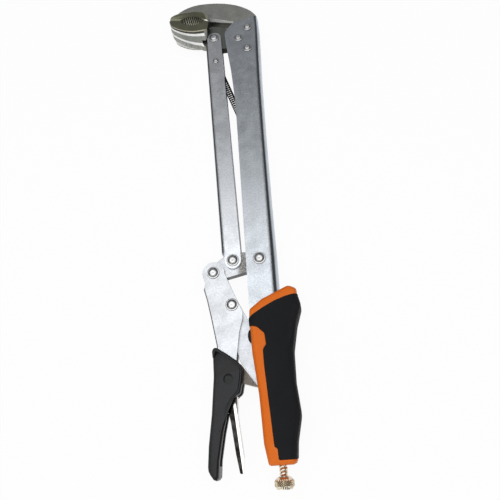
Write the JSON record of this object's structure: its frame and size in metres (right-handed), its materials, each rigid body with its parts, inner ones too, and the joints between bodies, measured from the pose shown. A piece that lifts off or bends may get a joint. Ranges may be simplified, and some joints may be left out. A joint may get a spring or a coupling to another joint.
{
  "type": "long reach locking pliers",
  "caption": "Long reach locking pliers: curved toothed jaws at the end of a long folded steel channel, worked by a push bar from a locking lever and a padded grip.",
  "frame": {"origin": "centre of the bounding box in X and Y, on the plane the pliers lie on", "axes": "+Y along the tool from the adjusting knob to the jaws, +Z out of the side face, +X from the hand lever to the fixed grip"},
  "size_m": [0.0788, 0.3542, 0.0208],
  "materials": {
    "channel_steel": "bright zinc plating, satin",
    "jaw_steel": "dark satin plating over ground steel",
    "bar_steel": "bright zinc plating, satin",
    "link_steel": "bright zinc plating, satin",
    "lever_steel": "bright zinc plating, satin",
    "rivet_steel": "polished plated rivet",
    "release_steel": "polished plating",
    "spring_steel": "dark oiled spring wire",
    "nut_steel": "dull plating",
    "screw_brass": "yellow plated steel, satin",
    "orange_shell": "orange moulded shell, soft gloss",
    "black_pad": "black soft grip, fine grain",
    "black_sleeve": "black dipped sleeve, soft gloss"
  },
  "bodies": {
    "frame": {"fixed_channel": "channel_steel", "upper_jaw": "jaw_steel", "jaw_pivot_pin": "rivet_steel", "upper_tang_rivet": "rivet_steel", "lower_tang_rivet": "rivet_steel", "rocker_pivot_pin": "rivet_steel", "spring_hook": "nut_steel", "handle_shell": "orange_shell", "grip_pad": "black_pad", "screw_nut": "nut_steel", "return_spring": "spring_steel"},
    "rocker": {"rocker_link": "link_steel"},
    "jaw": {"lower_jaw": "jaw_steel"},
    "bar": {"push_bar": "bar_steel", "bar_top_pin": "rivet_steel", "bar_bottom_pin": "rivet_steel", "spring_anchor_rivet": "rivet_steel"},
    "lever": {"hand_lever": "lever_steel", "lever_sleeve": "black_sleeve", "lever_top_pin": "rivet_steel", "toggle_pin": "rivet_steel", "release_pin": "release_steel", "release_spring": "spring_steel"},
    "strut": {"toggle_link": "link_steel"},
    "release": {"release_lever": "release_steel"},
    "screw": {"adjusting_screw": "screw_brass"},
    "knob": {"adjusting_knob": "screw_brass"}
  },
  "joints": [
    {"name": "rocker_turn", "type": "hinge", "parent": "frame", "child": "rocker", "pos_m": [0.01692, -0.04601, 0.0104], "axis": [0, 0, 1], "range_deg": [0, 24], "deforming": ["return_spring"]},
    {"name": "jaw_turn", "type": "hinge", "parent": "frame", "child": "jaw", "pos_m": [0.01372, 0.13449, 0.0104], "axis": [0, 0, 1], "range_deg": [0, 22]},
    {"name": "bar_turn", "type": "hinge", "parent": "rocker", "child": "bar", "pos_m": [-0.00018, -0.04491, 0.0104], "axis": [0, 0, 1], "range_deg": [-24, 0]},
    {"name": "lever_turn", "type": "hinge", "parent": "rocker", "child": "lever", "pos_m": [-0.01298, -0.05191, 0.0104], "axis": [0, 0, 1], "range_deg": [-87, 0]},
    {"name": "strut_turn", "type": "hinge", "parent": "lever", "child": "strut", "pos_m": [-0.00218, -0.07371, 0.0104], "axis": [0, 0, 1], "range_deg": [0, 95]},
    {"name": "release_turn", "type": "hinge", "parent": "lever", "child": "release", "pos_m": [-0.00618, -0.11801, 0.0104], "axis": [0, 0, 1], "range_deg": [-8, 0], "stiffness_Nm_per_rad": 0.05, "deforming": ["release_spring"]},
    {"name": "screw_travel", "type": "slide", "parent": "frame", "child": "screw", "axis": [0, 1, 0], "range_m": [-0.008, 0]},
    {"name": "knob_turn", "type": "hinge", "parent": "screw", "child": "knob", "pos_m": [0.02062, -0.17081, 0.0104], "axis": [0, 1, 0], "range_deg": [-1605, 0]}
  ],
  "couplings": [
    {"joint": "jaw_turn", "follows": "rocker_turn", "ratio": 0.876},
    {"joint": "bar_turn", "follows": "rocker_turn", "ratio": -0.9785},
    {"joint": "lever_turn", "follows": "rocker_turn", "ratio": -3.6},
    {"joint": "strut_turn", "follows": "rocker_turn", "ratio": 3.95},
    {"joint": "knob_turn", "follows": "screw_travel", "rad_per_m": 3490.7}
  ]
}
